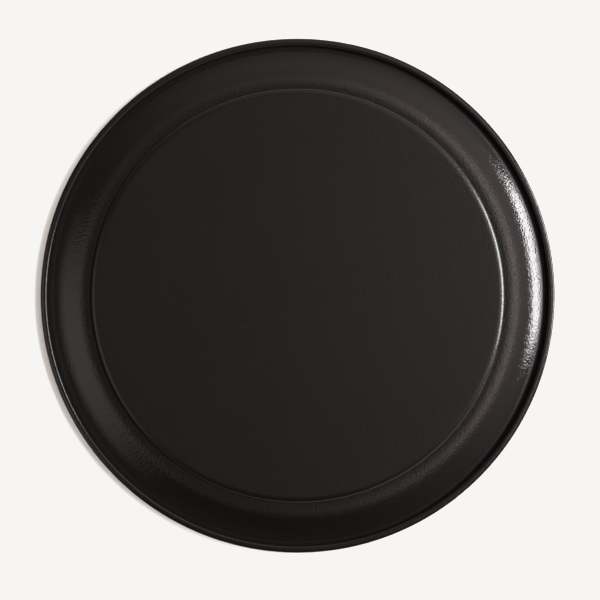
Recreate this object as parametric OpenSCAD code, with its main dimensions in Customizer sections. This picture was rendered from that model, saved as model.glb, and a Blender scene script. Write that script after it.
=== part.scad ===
// Round serving tray: a turned board with a crowned border inside a bent rim hoop, all covered in
// leather, with a padded leather insert on a raised seat and a suede base.
// Millimetres, +Z up. The origin is the centre of the base, on the surface the tray stands on.

/* [Tray] */
// Outer diameter over the leather
tray_d = 500; // [420:10:560]
// Height of the rim above the surface that the tray stands on
tray_h = 17; // [16.5:0.5:26]

/* [Leather] */
// Thickness of the leather that covers the border and the rim
leather_t = 1.1; // [0.8:0.1:1.3]
// Width of the border leather that goes under the insert
tuck_w = 15.6; // [8:0.2:25]
// Width of the rim's leather turned in under the base
turn_in_w = 24; // [14:1:40]

/* [Rim hoop] */
// Thickness of the bent strip inside the rim
hoop_t = 3.9; // [3:0.1:5]
// Radius on the strip's upper edges and its lower outer edge
hoop_edge_r = 0.3; // [0.2:0.1:1.4]

/* [Crowned border] */
// Distance from the rim's outer face in to the top of the crown
crest_inset = 40.5; // [34:0.5:46]
// Height of the top of the crown
crest_h = 10; // [9.8:0.1:12]
// Radius of the crown's arc in cross-section
crown_r = 145; // [140:1:180]
// Depth of the seat for the insert below the top of the crown
seat_depth = 0.15; // [0.1:0.05:0.2]

/* [Insert] */
// Distance from the rim's outer face in to the edge of the insert
insert_inset = 47.3; // [47.1:0.1:55]
// Thickness of the leather on the insert
insert_leather_t = 0.9; // [0.7:0.1:1]
// Thickness of the insert's fibreboard
insert_board_t = 1; // [0.8:0.1:1.5]
// Thickness of the felt between the fibreboard and the leather
insert_felt_t = 0.8; // [0.7:0.1:1.2]
// Thickness of the pared leather turned under the insert's edge
pared_t = 0.5; // [0.3:0.1:0.6]
// Width of the leather turned under the insert's edge
turn_under_w = 10; // [6:1:15]
// Radius of the soft roll on the insert's margin
roll_r = 28; // [22:1:30]
// Slope at which the soft roll ends and the tight edge begins, in degrees
roll_angle = 13; // [8:0.5:13.5]

/* [Base] */
// Thickness of the suede lining under the base
lining_t = 0.8; // [0.6:0.1:1.2]
// Distance from the rim's outer face in to the edge of the lining
lining_inset = 9; // [6:0.5:14]

/* [Hidden] */
$fn = 128;

gap = 0.4;                                       // trimming gap between two butted skins
far = tray_d;                                    // longer than any cross-section

rim_out_r = tray_d / 2;
hoop_out_r = rim_out_r - leather_t;
hoop_in_r = hoop_out_r - hoop_t;
rim_in_r = hoop_in_r - leather_t;

board_z = lining_t + leather_t;                  // underside of the board and the hoop
crest_r = rim_out_r - crest_inset;
crown_z = crest_h - crown_r;                     // height of the crown arc's centre
seat_h = crest_h - seat_depth;                   // leather surface that the insert rests on
board_top_h = seat_h - leather_t;

insert_r = rim_out_r - insert_inset;
insert_core_r = insert_r - insert_leather_t;     // edge of the fibreboard and the felt
felt_z = seat_h + insert_board_t;
insert_h = felt_z + insert_felt_t + insert_leather_t;
roll_start_r = insert_core_r - (roll_r - insert_leather_t) * sin(roll_angle);
roll_z = insert_h - roll_r;                      // height of the roll arc's centre
edge_z = roll_z + (roll_r - insert_leather_t) * cos(roll_angle);
tuck_r = insert_r - tuck_w;

turn_in_r = hoop_out_r - turn_in_w;
lining_r = rim_out_r - lining_inset;

// A rectangle of the half cross-section, from radius r0 to r1 and height z0 to z1.
module band(r0, r1, z0, z1) {
    translate([r0, z0]) square([r1 - r0, z1 - z0]);
}

// A disc-shaped piece, from height z0 to z1.
module plate(r, z0, z1) {
    translate([0, 0, z0]) cylinder(r = r, h = z1 - z0);
}

// The crowned body in half cross-section: flat seat, then the arc that rises to the crest and falls
// to the rim. cover is the thickness of leather left off the top.
module crowned_section(cover, outer_r, z0) {
    band(0, crest_r, z0, seat_h - cover);
    intersection() {
        translate([crest_r, crown_z]) circle(r = crown_r - cover, $fn = 720);
        band(tuck_r, outer_r, z0, crest_h);
    }
}

// The strip of the hoop in half cross-section. cover is the thickness of leather added all round.
module hoop_section(cover) {
    edge_r = hoop_edge_r + cover;
    r0 = hoop_in_r - cover;
    r1 = hoop_out_r + cover;
    z0 = board_z - cover;
    z1 = tray_h - leather_t + cover;
    band(r0, r1, z0 + edge_r, z1 - edge_r);
    band(r0 + edge_r, r1 - edge_r, z1 - edge_r, z1);
    band(r0, r1 - edge_r, z0, z0 + edge_r);
    for (at = [[r0 + edge_r, z1 - edge_r], [r1 - edge_r, z1 - edge_r], [r1 - edge_r, z0 + edge_r]])
        translate(at) circle(r = edge_r);
}

// The insert's body in half cross-section: flat, then the soft roll down to its edge. cover is the
// thickness of leather left off the top.
module rolled_section(cover, z0) {
    band(0, roll_start_r, z0, insert_h - cover);
    intersection() {
        translate([roll_start_r, roll_z]) circle(r = roll_r - cover, $fn = 720);
        polygon([
            [roll_start_r, z0],
            [insert_core_r, z0],
            [insert_core_r, edge_z],
            [roll_start_r + roll_r * tan(roll_angle), insert_h],
            [roll_start_r, insert_h]
        ]);
    }
}

module core_board() {
    color("burlywood") rotate_extrude() crowned_section(leather_t, hoop_in_r, board_z);
}

module rim_hoop() {
    color("wheat") rotate_extrude() hoop_section(0);
}

module rim_leather() {
    color([0.13, 0.12, 0.12]) rotate_extrude() difference() {
        union() {
            hoop_section(leather_t);
            band(turn_in_r, hoop_in_r, lining_t, board_z);
        }
        hoop_section(0);
        crowned_section(leather_t, hoop_in_r, board_z);
    }
}

module border_leather() {
    color([0.13, 0.12, 0.12]) rotate_extrude() difference() {
        crowned_section(0, rim_in_r, board_z);
        crowned_section(leather_t, hoop_in_r, board_z);
        band(0, tuck_r, board_z, far);
    }
}

module top_infill() {
    color("tan") plate(tuck_r - gap, board_top_h, seat_h);
}

module insert_board() {
    color("peru") difference() {
        plate(insert_core_r, seat_h, felt_z);
        difference() {
            plate(insert_core_r + gap, seat_h - gap, seat_h + pared_t);
            plate(insert_r - turn_under_w - gap, seat_h - gap, seat_h + pared_t);
        }
    }
}

module insert_felt() {
    color("gray") rotate_extrude() rolled_section(insert_leather_t, felt_z);
}

module insert_leather() {
    color([0.15, 0.13, 0.13]) rotate_extrude() difference() {
        union() {
            rolled_section(0, seat_h);
            band(insert_core_r, insert_r, seat_h + pared_t, edge_z);
            band(roll_start_r, insert_r - pared_t, seat_h, seat_h + pared_t);
            translate([insert_r - pared_t, seat_h + pared_t]) circle(r = pared_t);
            translate([insert_core_r, edge_z]) circle(r = insert_leather_t);
        }
        rolled_section(insert_leather_t, seat_h + pared_t);
        band(0, insert_r - turn_under_w, 0, seat_h + pared_t);
    }
}

module base_infill() {
    color("tan") plate(turn_in_r - gap, lining_t, board_z);
}

module base_lining() {
    color([0.10, 0.09, 0.09]) plate(lining_r, 0, lining_t);
}

core_board();
rim_hoop();
rim_leather();
border_leather();
top_infill();
insert_board();
insert_felt();
insert_leather();
base_infill();
base_lining();
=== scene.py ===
import math
import random

import bmesh
import bpy
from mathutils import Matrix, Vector


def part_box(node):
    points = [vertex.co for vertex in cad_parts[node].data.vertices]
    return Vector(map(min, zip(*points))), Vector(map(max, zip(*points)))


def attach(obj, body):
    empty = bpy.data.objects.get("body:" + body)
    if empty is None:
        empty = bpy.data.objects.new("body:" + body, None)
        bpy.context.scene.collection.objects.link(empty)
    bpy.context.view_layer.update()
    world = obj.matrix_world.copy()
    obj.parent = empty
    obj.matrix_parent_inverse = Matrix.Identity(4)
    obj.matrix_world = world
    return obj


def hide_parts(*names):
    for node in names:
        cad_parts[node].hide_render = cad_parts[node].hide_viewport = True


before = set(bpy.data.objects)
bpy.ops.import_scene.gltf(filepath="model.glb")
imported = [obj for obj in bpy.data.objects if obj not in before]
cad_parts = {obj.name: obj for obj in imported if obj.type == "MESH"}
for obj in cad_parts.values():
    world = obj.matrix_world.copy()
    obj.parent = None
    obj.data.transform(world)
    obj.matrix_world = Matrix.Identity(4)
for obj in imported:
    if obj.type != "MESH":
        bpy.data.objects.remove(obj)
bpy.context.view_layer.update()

MM = 0.001
RNG = random.Random(7)

# ---------------------------------------------------------------- sizes

# Sizes that the boxes of the CAD nodes don't give
HOOP_EDGE = 0.3 * MM                             # radius on the hoop's edges
CROWN_R = 145 * MM                               # radius of the border's crown in cross-section
CREST_INSET = 40.5 * MM                          # from the outline in to the top of the crown
BUTT_GAP = 0.4 * MM                              # between two skins that butt
ROLL_R = 28 * MM                                 # radius of the soft roll on the insert's margin
ROLL_END = 13                                    # slope where the felt's roll ends, in degrees
SOFT_LEAD = 0.5 * MM                             # the leather starts to roll this much further in
SOFT_END = 11.5                                  # slope where the leather's roll ends, in degrees
PARED = 0.5 * MM                                 # thickness of the leather under the insert's edge
TURN_UNDER = 10 * MM                             # width of that leather


def radius_of(node):
    """The outer radius of a round CAD node."""
    low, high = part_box(node)
    return max(high.x, high.y, -low.x, -low.y)


def top_of(node):
    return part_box(node)[1].z


def bottom_of(node):
    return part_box(node)[0].z


RIM_OUT = radius_of("rim_leather")
RIM_TOP = top_of("rim_leather")
HOOP_OUT = radius_of("rim_hoop")
HOOP_IN = radius_of("core_board")
LEATHER = RIM_OUT - HOOP_OUT
RIM_IN = radius_of("border_leather")
RIM_EDGE = HOOP_EDGE + LEATHER
BOARD_BOTTOM = bottom_of("core_board")
LINING_TOP = top_of("base_lining")
LINING_R = radius_of("base_lining")
SEAT_Z = top_of("top_infill")
CREST_Z = top_of("border_leather")
CREST_R = RIM_OUT - CREST_INSET
CROWN_Z = CREST_Z - CROWN_R
TUCK_R = radius_of("top_infill") + BUTT_GAP
TURN_IN_R = radius_of("base_infill") + BUTT_GAP

INSERT_R = radius_of("insert_leather")
INSERT_TOP = top_of("insert_leather")
INSERT_CORE_R = radius_of("insert_board")
INSERT_LEATHER = INSERT_R - INSERT_CORE_R
ROLL_START = INSERT_CORE_R - (ROLL_R - INSERT_LEATHER) * math.sin(math.radians(ROLL_END))
SOFT_START = ROLL_START - SOFT_LEAD
ROLL_Z = INSERT_TOP - ROLL_R
EDGE_Z = ROLL_Z + (ROLL_R - INSERT_LEATHER) * math.cos(math.radians(ROLL_END))

SEGMENTS = 720                                   # round the insert and the lining
FINE_SEGMENTS = 1080                             # round the border and the rim

# ---------------------------------------------------------------- mesh building


def arc(centre, radius, start, end, steps):
    """Points of an arc in the half cross-section. Angles in degrees, 0 outwards and 90 up."""
    points = []
    for i in range(steps + 1):
        a = math.radians(start + (end - start) * i / steps)
        points.append((centre[0] + radius * math.cos(a), centre[1] + radius * math.sin(a)))
    return points


def line(start, end, steps):
    """Points of a straight stretch, without its last point."""
    return [
        (start[0] + (end[0] - start[0]) * i / steps, start[1] + (end[1] - start[1]) * i / steps)
        for i in range(steps)
    ]


def slope_arcs(start, parts, steps):
    """A run of arcs that meet smoothly. Each part is a radius with the first and the last slope, in
    degrees: -90 climbs straight up, 0 is level and 90 falls straight down."""
    points = [start]
    r, z = start
    for radius, first, last in parts:
        for i in range(steps):
            a = math.radians(first + (last - first) * i / steps)
            b = math.radians(first + (last - first) * (i + 1) / steps)
            r += radius * (math.sin(b) - math.sin(a))
            z += radius * (math.cos(b) - math.cos(a))
            points.append((r, z))
    return points


def waves(count, low, high):
    """A seeded, periodic, uneven ripple round the tray: a function of azimuth, from -1 to 1."""
    terms = []
    for _ in range(count):
        terms.append((RNG.randint(low, high), RNG.uniform(0, 2 * math.pi), RNG.uniform(0.4, 1)))
    total = sum(size for _, _, size in terms)

    def ripple(azimuth):
        return sum(size * math.sin(n * azimuth + phase) for n, phase, size in terms) / total

    return ripple


def revolve(name, profile, segments, shape):
    """Turns a closed cross-section into a closed mesh. Points with a radius of 0 become one pole.

    shape(r, z, azimuth) gives the moved point (r, z) for hand-made unevenness.
    """
    mesh = bmesh.new()
    columns = []
    poles = {}
    for i in range(segments):
        azimuth = 2 * math.pi * i / segments
        column = []
        for k, (r, z) in enumerate(profile):
            if r <= 0:
                if k not in poles:
                    poles[k] = mesh.verts.new((0, 0, z))
                column.append(poles[k])
                continue
            r, z = shape(r, z, azimuth)
            column.append(mesh.verts.new((r * math.cos(azimuth), r * math.sin(azimuth), z)))
        columns.append(column)
    count = len(profile)
    for i in range(segments):
        here, there = columns[i], columns[(i + 1) % segments]
        for k in range(count):
            m = (k + 1) % count
            corners = []
            for v in (here[k], here[m], there[m], there[k]):
                if v not in corners:
                    corners.append(v)
            if len(corners) > 2:
                mesh.faces.new(corners)
    bmesh.ops.recalc_face_normals(mesh, faces=mesh.faces)
    data = bpy.data.meshes.new(name)
    mesh.to_mesh(data)
    mesh.free()
    data.shade_smooth()
    piece = bpy.data.objects.new(name, data)
    bpy.context.scene.collection.objects.link(piece)
    return piece


def smooth_share(value, start, end):
    """0 before start and 1 past end, with a smooth step between."""
    t = min(1, max(0, (value - start) / (end - start)))
    return t * t * (3 - 2 * t)


def crown_height(r, cover):
    """Height of the crowned surface at radius r, below cover of leather."""
    return CROWN_Z + math.sqrt((CROWN_R - cover) ** 2 - (r - CREST_R) ** 2)


def border_profile():
    """The border leather's closed cross-section: seat, crown, and the edge pressed into the foot."""
    seat_end = CREST_R - math.sqrt(CROWN_R ** 2 - (SEAT_Z - CROWN_Z) ** 2)
    points = line((TUCK_R, SEAT_Z), (seat_end, SEAT_Z), 5)
    press = 0.35 * MM
    last = RIM_IN - press
    for r, _ in line((seat_end, 0), (last, 0), 50) + [(last, 0)]:
        points.append((r, crown_height(r, 0)))
    edge_top = crown_height(last, 0)
    points += arc((last, edge_top - press), press, 75, 0, 5)
    points.append((RIM_IN, crown_height(RIM_IN, LEATHER)))
    for r, _ in line((RIM_IN, 0), (seat_end, 0), 12)[1:]:
        points.append((r, crown_height(r, LEATHER)))
    points += [(seat_end, SEAT_Z - LEATHER), (TUCK_R, SEAT_Z - LEATHER)]
    return points


def make_border():
    """The border's leather, which wavers where it is pressed into the foot of the rim."""
    foot_wave = waves(9, 9, 90)
    crown_wave = waves(6, 2, 11)
    foot_waver = 0.06 * MM
    crown_waver = 0.012 * MM

    def shape(r, z, azimuth):
        if z > BOARD_BOTTOM + LEATHER:
            near_foot = smooth_share(r, RIM_IN - 5 * MM, RIM_IN)
            on_crown = smooth_share(r, CREST_R, CREST_R + 8 * MM) * (1 - near_foot)
            foot = foot_waver * foot_wave(azimuth) * near_foot
            z += foot + crown_waver * crown_wave(azimuth) * on_crown
        return r, z

    return revolve("border_cover", border_profile(), FINE_SEGMENTS, shape)


def rim_profile():
    """The rim leather's closed cross-section: up the inside, over the top, down the outside and in
    under the base. The top is a run of arcs, and the nearly level one between the slopes rise and
    fall takes the width that the others leave."""
    inner_foot = crown_height(HOOP_IN, LEATHER)
    low_z = LINING_TOP + RIM_EDGE
    hoop_z = RIM_TOP - LEATHER - HOOP_EDGE
    rise, fall = -5, 3.5
    inner_arcs = [(1.0 * MM, -90, -20), (4.0 * MM, -20, -12), (1.2 * MM, -12, rise)]
    outer_arcs = [(8 * MM, fall, 12.5), (0.9 * MM, 12.5, 90)]

    def reach(first, last):
        return math.sin(math.radians(last)) - math.sin(math.radians(first))

    taken = sum(radius * reach(first, last) for radius, first, last in inner_arcs + outer_arcs)
    top_r = (RIM_OUT - RIM_IN - taken) / reach(rise, fall)
    climb = slope_arcs((0, 0), inner_arcs, 1)[-1][1] + top_r * (1 - math.cos(math.radians(rise)))
    top_z = RIM_TOP - climb
    points = line((RIM_IN, inner_foot), (RIM_IN, top_z), 12)
    points += slope_arcs((RIM_IN, top_z), inner_arcs + [(top_r, rise, fall)] + outer_arcs, 12)
    points += line((RIM_OUT, points[-1][1]), (RIM_OUT, low_z), 12)[1:]
    points += arc((RIM_OUT - RIM_EDGE, low_z), RIM_EDGE, 0, -90, 12)
    points += line((RIM_OUT - RIM_EDGE, LINING_TOP), (TURN_IN_R, LINING_TOP), 16)[1:]
    points += [(TURN_IN_R, LINING_TOP), (TURN_IN_R, BOARD_BOTTOM)]
    points += arc((HOOP_OUT - HOOP_EDGE, BOARD_BOTTOM + HOOP_EDGE), HOOP_EDGE, -90, 0, 4)
    points += arc((HOOP_OUT - HOOP_EDGE, hoop_z), HOOP_EDGE, 0, 90, 4)
    points += arc((HOOP_IN + HOOP_EDGE, hoop_z), HOOP_EDGE, 90, 180, 4)
    points.append((HOOP_IN, inner_foot))
    return points


def make_rim():
    """The rim's leather, with its pleats where it turns in under the base."""
    rim_wave = waves(7, 2, 23)
    top_wave = waves(6, 3, 31)
    pleat_wave = waves(9, 80, 190)
    side_waver = 0.05 * MM
    top_waver = 0.02 * MM
    pleat_depth = 0.22 * MM

    def shape(r, z, azimuth):
        on_rim = smooth_share(z, RIM_TOP - 8 * MM, RIM_TOP - 1 * MM)
        r += side_waver * rim_wave(azimuth) * on_rim
        z += top_waver * (top_wave(azimuth) - 1) * on_rim
        if z < BOARD_BOTTOM - 0.5 * MM:
            inwards = smooth_share(RIM_OUT - r, 1 * MM, 7 * MM)
            z += pleat_depth * (pleat_wave(azimuth) - 0.2) * inwards
        return r, z

    return revolve("rim_cover", rim_profile(), FINE_SEGMENTS, shape)


def set_polish(piece, share):
    """Stores how far the leather is stretched smooth and glossy at each point, from 0 to 1."""
    values = [share(math.hypot(v.co.x, v.co.y), v.co.z) for v in piece.data.vertices]
    piece.data.attributes.new("polish", "FLOAT", "POINT").data.foreach_set("value", values)


def insert_profile():
    """The insert leather's closed cross-section: flat top, soft roll, tight edge, turned under."""
    points = line((0, INSERT_TOP), (SOFT_START, INSERT_TOP), 20)
    points += arc((SOFT_START, ROLL_Z), ROLL_R, 90, 90 - SOFT_END, 14)
    edge_r = (INSERT_R - points[-1][0]) / (1 - math.sin(math.radians(SOFT_END)))
    points += slope_arcs(points[-1], [(edge_r, SOFT_END, 90)], 14)[1:]
    points += arc((INSERT_R - PARED, SEAT_Z + PARED), PARED, 0, -90, 6)
    points += line((INSERT_R - PARED, SEAT_Z), (INSERT_R - TURN_UNDER, SEAT_Z), 3)[1:]
    points += [(INSERT_R - TURN_UNDER, SEAT_Z), (INSERT_R - TURN_UNDER, SEAT_Z + PARED)]
    points += [(INSERT_CORE_R, SEAT_Z + PARED), (INSERT_CORE_R, EDGE_Z)]
    points += arc((ROLL_START, ROLL_Z), ROLL_R - INSERT_LEATHER, 90 - ROLL_END, 90, 6)[1:]
    points += [(0, INSERT_TOP - INSERT_LEATHER)]
    return points


def make_insert():
    """The insert's leather, which sags a little towards its uneven edge."""
    edge_wave = waves(8, 3, 40)
    swell = waves(5, 2, 9)
    edge_waver = 0.05 * MM
    sag = 0.03 * MM

    def shape(r, z, azimuth):
        at_edge = smooth_share(r, INSERT_R - 3 * MM, INSERT_R)
        r += edge_waver * edge_wave(azimuth) * at_edge
        if z > EDGE_Z:
            z -= sag * (1 + swell(azimuth)) * smooth_share(r, 0.3 * INSERT_R, INSERT_R)
        return r, z

    return revolve("insert_cover", insert_profile(), SEGMENTS, shape)


def make_lining():
    """The suede lining, with its cut edge a little uneven."""
    edge_wave = waves(8, 4, 60)
    cut_waver = 0.15 * MM
    edge_r = 0.25 * MM
    points = line((0, LINING_TOP), (LINING_R, LINING_TOP), 10) + [(LINING_R, LINING_TOP)]
    points += arc((LINING_R - edge_r, edge_r), edge_r, 0, -90, 5)
    points += line((LINING_R - edge_r, 0), (0, 0), 10)[1:] + [(0, 0)]

    def shape(r, z, azimuth):
        at_edge = smooth_share(r, LINING_R - 2 * MM, LINING_R)
        return r + cut_waver * (edge_wave(azimuth) - 1) * at_edge, z

    return revolve("base_suede", points, SEGMENTS, shape)


# ---------------------------------------------------------------- materials


class Nodes:
    """A short way to build a node tree."""

    def __init__(self, tree):
        self.tree = tree

    def add(self, kind, inputs=None, **settings):
        node = self.tree.nodes.new(kind)
        for key, value in settings.items():
            setattr(node, key, value)
        for key, value in (inputs or {}).items():
            if isinstance(value, bpy.types.NodeSocket):
                self.tree.links.new(value, node.inputs[key])
            else:
                node.inputs[key].default_value = value
        return node

    def math(self, operation, a, b=None):
        inputs = {0: a} if b is None else {0: a, 1: b}
        return self.add("ShaderNodeMath", inputs, operation=operation).outputs[0]

    def times(self, a, b):
        return self.math("MULTIPLY", a, b)

    def weigh(self, first, *others):
        """The sum of values, each given with its weight."""
        total = self.times(*first)
        for value, weight in others:
            total = self.math("ADD", total, self.times(value, weight))
        return total

    def vector(self, operation, a, b):
        return self.add("ShaderNodeVectorMath", {0: a, 1: b}, operation=operation).outputs

    def noise(self, vector, scale, detail=2.0, rough=0.5):
        inputs = {"Vector": vector, "Scale": scale, "Detail": detail, "Roughness": rough}
        return self.add("ShaderNodeTexNoise", inputs).outputs["Fac"]

    def remap(self, value, low, high, to_low, to_high):
        inputs = {0: value, 1: low, 2: high, 3: to_low, 4: to_high}
        return self.add("ShaderNodeMapRange", inputs).outputs[0]

    def mix_colour(self, share, a, b):
        node = self.add("ShaderNodeMix", data_type="RGBA")
        for index, value in ((0, share), (6, a), (7, b)):
            if isinstance(value, bpy.types.NodeSocket):
                self.tree.links.new(value, node.inputs[index])
            else:
                node.inputs[index].default_value = value
        return node.outputs[2]

    def bump(self, height, distance):
        inputs = {"Height": height, "Distance": distance, "Strength": 1.0}
        return self.add("ShaderNodeBump", inputs).outputs[0]


def new_material(name):
    """A material with a Principled shader. Returns it, its node builder, its shader and the
    position on the piece."""
    material = bpy.data.materials.new(name)
    material.use_nodes = True
    nodes = Nodes(material.node_tree)
    shader = material.node_tree.nodes["Principled BSDF"]
    place = nodes.add("ShaderNodeTexCoord").outputs["Object"]
    return material, nodes, shader, place


def link(nodes, socket, shader, name):
    """Lets a value drive one of the shader's inputs."""
    nodes.tree.links.new(socket, shader.inputs[name])


def colour(r, g, b):
    return (r, g, b, 1.0)


def leather(name, dark, light, rough, smooth, specular, coat, tint, cell, relief, pore):
    """Finished black leather: pebbled grain with pores, uneven dye and uneven gloss.

    rough and smooth are the roughness where the polish is 0 and 1, and coat is the weight of the
    glaze where it is 1. cell is the grain's size and relief its height, both in metres. pore is the
    pores' share of the relief.
    """
    material, nodes, shader, place = new_material(name)
    shader.inputs["Specular IOR Level"].default_value = specular
    shader.inputs["Specular Tint"].default_value = colour(*tint)
    drift = nodes.add(
        "ShaderNodeTexNoise", {"Vector": place, "Scale": 0.4 / cell, "Detail": 2.0}
    ).outputs["Color"]
    drift = nodes.vector("MULTIPLY", drift, (1.2 * cell,) * 3)[0]
    bent = nodes.vector("ADD", place, drift)[0]
    cells = nodes.add(
        "ShaderNodeTexVoronoi",
        {"Vector": bent, "Scale": 1 / cell, "Randomness": 1.0, "Smoothness": 0.6},
        feature="SMOOTH_F1",
    ).outputs["Distance"]
    pebble = nodes.remap(cells, 0.0, 0.75, 1.0, 0.0)
    pores = nodes.noise(place, 3.1 / cell, 3.0, 0.6)
    broad = nodes.noise(place, 0.3 / cell, 2.0, 0.5)
    height = nodes.weigh((pebble, 0.75), (pores, pore), (broad, 0.12))
    link(nodes, nodes.bump(height, relief), shader, "Normal")

    cloud = nodes.noise(place, 14.0, 3.0, 0.55)
    tone = nodes.weigh((cloud, 0.6), (pebble, 0.4))
    link(nodes, nodes.mix_colour(tone, colour(*dark), colour(*light)), shader, "Base Color")
    gloss = nodes.weigh((pores, 0.5), (cloud, 0.5))
    polish = nodes.add("ShaderNodeAttribute", attribute_name="polish").outputs["Fac"]
    finish = nodes.remap(polish, 0.0, 1.0, rough, smooth)
    uneven = nodes.remap(gloss, 0.3, 0.7, 0.9, 1.1)
    link(nodes, nodes.times(finish, uneven), shader, "Roughness")
    if coat:
        shader.inputs["Coat Roughness"].default_value = smooth
        link(nodes, nodes.times(polish, coat), shader, "Coat Weight")
    return material


def suede_material():
    """Napped suede: short soft fibres that lie in patches."""
    material, nodes, shader, place = new_material("suede")
    fibre = nodes.noise(place, 2600.0, 4.0, 0.7)
    nap = nodes.noise(place, 60.0, 3.0, 0.6)
    link(nodes, nodes.bump(nodes.math("ADD", fibre, nap), 0.06 * MM), shader, "Normal")
    tone = nodes.remap(nodes.weigh((fibre, 0.5), (nap, 0.5)), 0.35, 0.65, 0.0, 1.0)
    dark, light = colour(0.009, 0.008, 0.0075), colour(0.03, 0.026, 0.024)
    link(nodes, nodes.mix_colour(tone, dark, light), shader, "Base Color")
    link(nodes, nodes.remap(nap, 0.3, 0.7, 0.88, 0.98), shader, "Roughness")
    shader.inputs["Sheen Weight"].default_value = 0.25
    shader.inputs["Sheen Roughness"].default_value = 0.5
    shader.inputs["Specular IOR Level"].default_value = 0.2
    return material


def speckled(name, dark, light, grain, relief, rough):
    """Pressed fibre stock: fibreboard, leatherboard or felt, with specks of size grain."""
    material, nodes, shader, place = new_material(name)
    speck = nodes.noise(place, 1 / grain, 4.0, 0.7)
    cloud = nodes.noise(place, 25.0, 2.0, 0.5)
    tone = nodes.remap(nodes.weigh((speck, 0.7), (cloud, 0.3)), 0.35, 0.65, 0.0, 1.0)
    link(nodes, nodes.mix_colour(tone, colour(*dark), colour(*light)), shader, "Base Color")
    link(nodes, nodes.remap(speck, 0.3, 0.7, rough - 0.06, rough + 0.06), shader, "Roughness")
    link(nodes, nodes.bump(speck, relief), shader, "Normal")
    return material


def beech_material():
    """Bent beech strip: grain that runs round the hoop, with short darker flecks."""
    material, nodes, shader, place = new_material("beech")
    axes = nodes.add("ShaderNodeSeparateXYZ", {0: place}).outputs
    turn = nodes.math("ARCTAN2", axes[1], axes[0])
    along = nodes.times(nodes.times(turn, HOOP_OUT), 0.05)
    grain_place = nodes.add("ShaderNodeCombineXYZ", {0: along, 1: axes[2], 2: 0.0}).outputs[0]
    grain = nodes.noise(grain_place, 900.0, 4.0, 0.6)
    fleck = nodes.noise(grain_place, 2600.0, 2.0, 0.5)
    tone = nodes.remap(nodes.weigh((grain, 0.7), (fleck, 0.3)), 0.35, 0.65, 0.0, 1.0)
    dark, light = colour(0.42, 0.26, 0.14), colour(0.66, 0.47, 0.30)
    link(nodes, nodes.mix_colour(tone, dark, light), shader, "Base Color")
    link(nodes, nodes.remap(grain, 0.3, 0.7, 0.6, 0.75), shader, "Roughness")
    link(nodes, nodes.bump(grain, 0.03 * MM), shader, "Normal")
    return material


def dress(piece, material):
    """Gives a piece its material."""
    piece.data.materials.clear()
    piece.data.materials.append(material)


# ---------------------------------------------------------------- the tray

border_leather = leather(
    "border_leather",
    dark=(0.0014, 0.0011, 0.0010),
    light=(0.0026, 0.0020, 0.0018),
    rough=0.45,
    smooth=0.055,
    specular=0.25,
    coat=0,
    tint=(1.0, 0.94, 0.965),
    cell=1.55 * MM,
    relief=0.046 * MM,
    pore=0.15,
)
rim_leather = leather(
    "rim_leather",
    dark=(0.0020, 0.0016, 0.0014),
    light=(0.0034, 0.0027, 0.0024),
    rough=0.45,
    smooth=0.06,
    specular=0.225,
    coat=0,
    tint=(1.0, 0.94, 0.965),
    cell=1.55 * MM,
    relief=0.036 * MM,
    pore=0.15,
)
insert_leather = leather(
    "insert_leather",
    dark=(0.0010, 0.0006, 0.0005),
    light=(0.0018, 0.0010, 0.0008),
    rough=0.295,
    smooth=0.12,
    specular=0.138,
    coat=0.31,
    tint=(1.0, 0.92, 0.92),
    cell=1.4 * MM,
    relief=0.075 * MM,
    pore=0.3,
)
suede = suede_material()
fibreboard = speckled(
    "fibreboard",
    dark=(0.26, 0.17, 0.10),
    light=(0.46, 0.32, 0.20),
    grain=0.5 * MM,
    relief=0.05 * MM,
    rough=0.85,
)
leatherboard = speckled(
    "leatherboard",
    dark=(0.32, 0.23, 0.15),
    light=(0.50, 0.39, 0.28),
    grain=0.9 * MM,
    relief=0.05 * MM,
    rough=0.88,
)
felt = speckled(
    "felt",
    dark=(0.13, 0.13, 0.13),
    light=(0.28, 0.28, 0.28),
    grain=0.35 * MM,
    relief=0.08 * MM,
    rough=0.93,
)
beech = beech_material()

rim = make_rim()
set_polish(rim, lambda r, z: smooth_share(z, RIM_TOP - 6 * MM, RIM_TOP - 2 * MM))
dress(rim, rim_leather)
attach(rim, "root")
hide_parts("rim_leather")

border = make_border()
set_polish(border, lambda r, z: 1 - smooth_share(r, RIM_IN - 8 * MM, RIM_IN - 2.5 * MM))
dress(border, border_leather)
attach(border, "root")
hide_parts("border_leather")

insert = make_insert()
set_polish(insert, lambda r, z: smooth_share(r, SOFT_START + 1.8 * MM, SOFT_START + 4.5 * MM))
dress(insert, insert_leather)
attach(insert, "root")
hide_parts("insert_leather")

lining = make_lining()
dress(lining, suede)
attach(lining, "root")
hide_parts("base_lining")

for node, material, slot in (
    ("core_board", fibreboard, "fibreboard"),
    ("insert_board", fibreboard, "fibreboard"),
    ("rim_hoop", beech, "beech"),
    ("top_infill", leatherboard, "leatherboard"),
    ("base_infill", leatherboard, "leatherboard"),
    ("insert_felt", felt, "felt"),
):
    dress(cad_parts[node], material)

# ---------------------------------------------------------------- floor, camera and light

KEY_AZIMUTH = 8
PANEL_AZIMUTH = 194


def make_floor():
    """A wide pale floor, a hair below the tray."""
    width = 40
    drop = 0.1 * MM
    bpy.ops.mesh.primitive_plane_add(size=width, location=(0, 0, -drop))
    floor = bpy.context.object
    floor.name = "floor"
    material, nodes, shader, place = new_material("pale_floor")
    shade = nodes.noise(place, 1.5, 2.0, 0.5)
    dark, light = colour(0.86, 0.86, 0.86), colour(0.88, 0.88, 0.88)
    link(nodes, nodes.mix_colour(shade, dark, light), shader, "Base Color")
    shader.inputs["Roughness"].default_value = 0.9
    shader.inputs["Specular IOR Level"].default_value = 0.1
    floor.data.materials.append(material)


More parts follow.
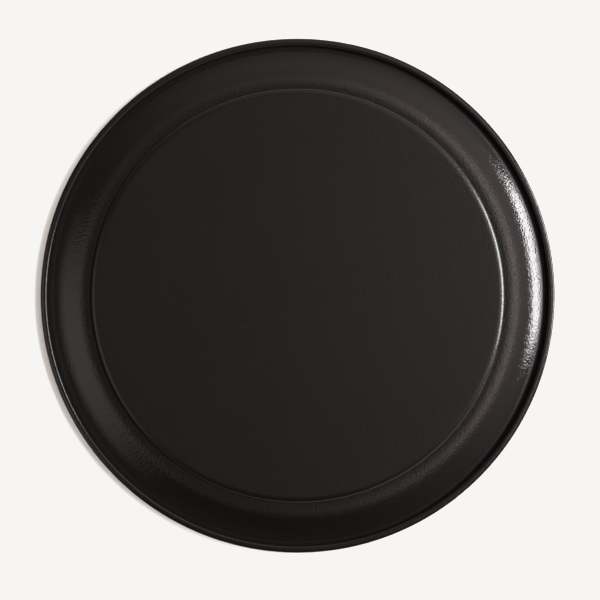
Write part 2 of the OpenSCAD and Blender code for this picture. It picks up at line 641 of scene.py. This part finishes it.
def direction(azimuth, zenith):
    """A unit vector towards an azimuth and a zenith angle, in degrees."""
    a, z = math.radians(azimuth), math.radians(zenith)
    return Vector((math.cos(a) * math.sin(z), math.sin(a) * math.sin(z), math.cos(z)))


def softbox(name, azimuth, zenith, distance, width, height, radiance, tint):
    """A rectangular studio light that faces the tray. width is across its azimuth."""
    data = bpy.data.lights.new(name, "AREA")
    data.shape = "RECTANGLE"
    data.size, data.size_y = width, height
    data.energy = radiance * math.pi * width * height
    data.color = tint
    light = bpy.data.objects.new(name, data)
    bpy.context.scene.collection.objects.link(light)
    towards = direction(azimuth, zenith)
    light.location = towards * distance
    light.rotation_euler = towards.to_track_quat("Z", "Y").to_euler()


def make_room():
    """The studio as a sky that the glossy border and rim mirror. Angles are in degrees."""
    world = bpy.data.worlds.new("studio")
    bpy.context.scene.world = world
    world.use_nodes = True
    nodes = Nodes(world.node_tree)
    ray = nodes.add("ShaderNodeTexCoord").outputs["Generated"]

    def towards(azimuth, zenith):
        """Cosine of the angle between the ray and a direction."""
        return nodes.vector("DOT_PRODUCT", ray, tuple(direction(azimuth, zenith)))["Value"]

    def glow(azimuth, zenith, spread, level):
        """A round soft lobe of light, spread about a direction."""
        tightness = 1 / math.radians(spread) ** 2
        falling = nodes.times(nodes.math("SUBTRACT", towards(azimuth, zenith), 1.0), tightness)
        return nodes.times(nodes.math("EXPONENT", falling), level)

    def fade(value, from_angle, to_angle, low, high):
        """Goes from low to high between two angles. value is the cosine of the angle."""
        start, end = math.cos(math.radians(from_angle)), math.cos(math.radians(to_angle))
        return nodes.remap(value, start, end, low, high)

    up = towards(0, 0)
    across = nodes.math("SQRT", nodes.math("SUBTRACT", 1.0, nodes.times(up, up)))

    def lean(azimuth):
        """Cosine of the difference in azimuth."""
        return nodes.math("DIVIDE", towards(azimuth, 90), nodes.math("MAXIMUM", across, 0.001))

    # A thin ring round the camera, bright on the key's side
    ring_zenith, ring_sharpness = 9, 300.0
    offset = nodes.math("SUBTRACT", up, math.cos(math.radians(ring_zenith)))
    offset = nodes.times(offset, ring_sharpness)
    ring = nodes.math("EXPONENT", nodes.times(nodes.times(offset, offset), -0.5))
    key_side = nodes.math("POWER", nodes.math("MAXIMUM", lean(KEY_AZIMUTH), 0.0), 2.0)
    ring = nodes.times(ring, nodes.remap(key_side, 0.0, 1.0, 0.3, 3.8))

    # The ceiling, with soft glows in it and a dim spot at the camera
    sky = nodes.math("ADD", ring, fade(up, 14, 31, 0.15, 0.38))
    for azimuth, zenith, spread, level in (
        (38, 21, 10.5, 2.0),
        (98, 21, 9, 0.75),
        (3, 6, 4.5, 2.1),
        (8, 15, 7, 0.8),
        (-20, 25, 9, 1.0),
    ):
        sky = nodes.math("ADD", sky, glow(azimuth, zenith, spread, level))
    sky = nodes.times(sky, fade(up, 1.5, 6, 0.4, 1.0))

    # Pale walls, brighter on the key's side and dimmer near the floor
    brighter_side = nodes.remap(towards(10, 90), -0.8, 0.8, -0.3, 4.2)
    walls = nodes.times(fade(up, 30, 52, 0.0, 1.0), brighter_side)
    walls = nodes.times(walls, fade(up, 64, 80, 1.0, 0.3))

    # A panel overhead on the shaded side
    panel = nodes.times(fade(lean(PANEL_AZIMUTH), 36, 8, 0.0, 2.0), fade(up, 5, 9.5, 0.0, 1.0))
    panel = nodes.times(panel, fade(up, 27, 21.5, 0.0, 1.0))

    level = nodes.math("ADD", nodes.math("ADD", sky, walls), panel)
    background = world.node_tree.nodes["Background"]
    background.inputs["Color"].default_value = colour(1.0, 0.93, 0.90)
    nodes.tree.links.new(level, background.inputs["Strength"])


def make_camera():
    """Straight above the tray, with the framing of a square catalogue picture."""
    distance = 2.0
    tray_share = 0.85733                         # of the picture's width
    data = bpy.data.cameras.new("camera")
    camera = bpy.data.objects.new("camera", data)
    bpy.context.scene.collection.objects.link(camera)
    camera.location = (0, 0, distance)
    view_width = 2 * RIM_OUT / tray_share
    data.sensor_width = 36
    data.lens = data.sensor_width * (distance - RIM_TOP) / view_width
    data.shift_x = 0.00383
    data.shift_y = -0.00717
    bpy.context.scene.camera = camera


def set_exposure():
    """The floor is lit past white, and white comes out as the warm off-white of the page."""
    page_white = (0.9227, 0.9130, 0.8963)
    view = bpy.context.scene.view_settings
    view.view_transform = "Standard"
    view.use_curve_mapping = True
    mapping = view.curve_mapping
    mapping.extend = "HORIZONTAL"
    for curve, white in zip(mapping.curves, page_white):
        curve.points[-1].location = (1.0, white)
    mapping.update()


make_floor()
make_room()
softbox(
    "key",
    azimuth=KEY_AZIMUTH,
    zenith=25.4,
    distance=30.0,
    width=9.1,
    height=3.0,
    radiance=53.5,
    tint=(0.95, 1.0, 1.0),
)
make_camera()
set_exposure()
